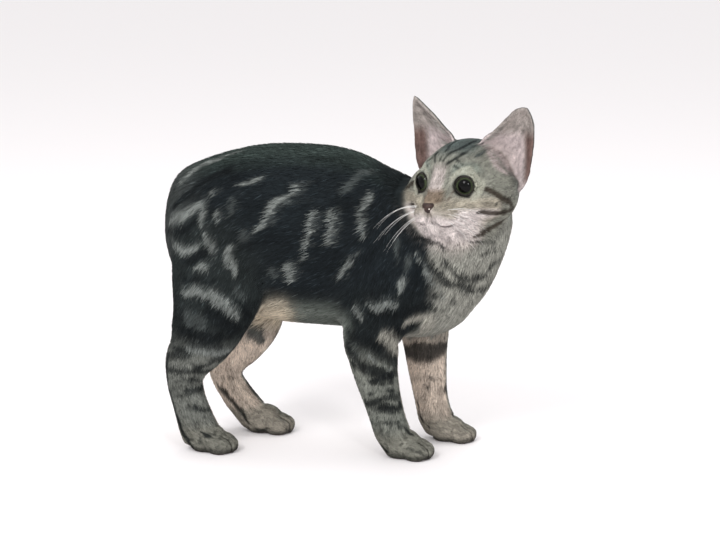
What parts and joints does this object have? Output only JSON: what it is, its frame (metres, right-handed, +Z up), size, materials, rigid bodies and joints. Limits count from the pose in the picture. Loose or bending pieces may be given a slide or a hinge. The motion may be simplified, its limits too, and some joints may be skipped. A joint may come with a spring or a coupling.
{
  "type": "manx cat",
  "caption": "Tailless short-haired tabby cat standing on four paws, head turned back over its right shoulder.",
  "frame": {"origin": "middle of the bounding box, at the height of the soles", "axes": "+X towards the chest, +Y towards the cat's left side, +Z up"},
  "size_m": [0.3179, 0.137, 0.3049],
  "materials": {
    "coat_tabby": "short close fur, grey and black tabby",
    "coat_dark": "short close fur, near black saddle with pale flecks",
    "coat_pale": "short fur, pale grey and buff with dark bands",
    "nose_leather": "bare, finely pebbled, slightly moist",
    "eye": "wet, dark green iris with a wide black pupil"
  },
  "bodies": {
    "root": {"breast": "coat_pale", "ear_left": "coat_tabby", "ear_right": "coat_tabby", "eye_left": "eye", "eye_right": "eye", "fore_paw_left": "coat_tabby", "fore_paw_right": "coat_tabby", "forearm_left": "coat_tabby", "forearm_right": "coat_tabby", "head": "coat_tabby", "hind_foot_left": "coat_tabby", "hind_foot_right": "coat_tabby", "hind_paw_left": "coat_tabby", "hind_paw_right": "coat_tabby", "loin": "coat_dark", "neck": "coat_pale", "nose": "nose_leather", "ribs": "coat_dark", "rump": "coat_dark", "shank_left": "coat_tabby", "shank_right": "coat_tabby", "shoulder_left": "coat_tabby", "shoulder_right": "coat_tabby", "thigh_left": "coat_tabby", "thigh_right": "coat_tabby"}
  },
  "joints": []
}
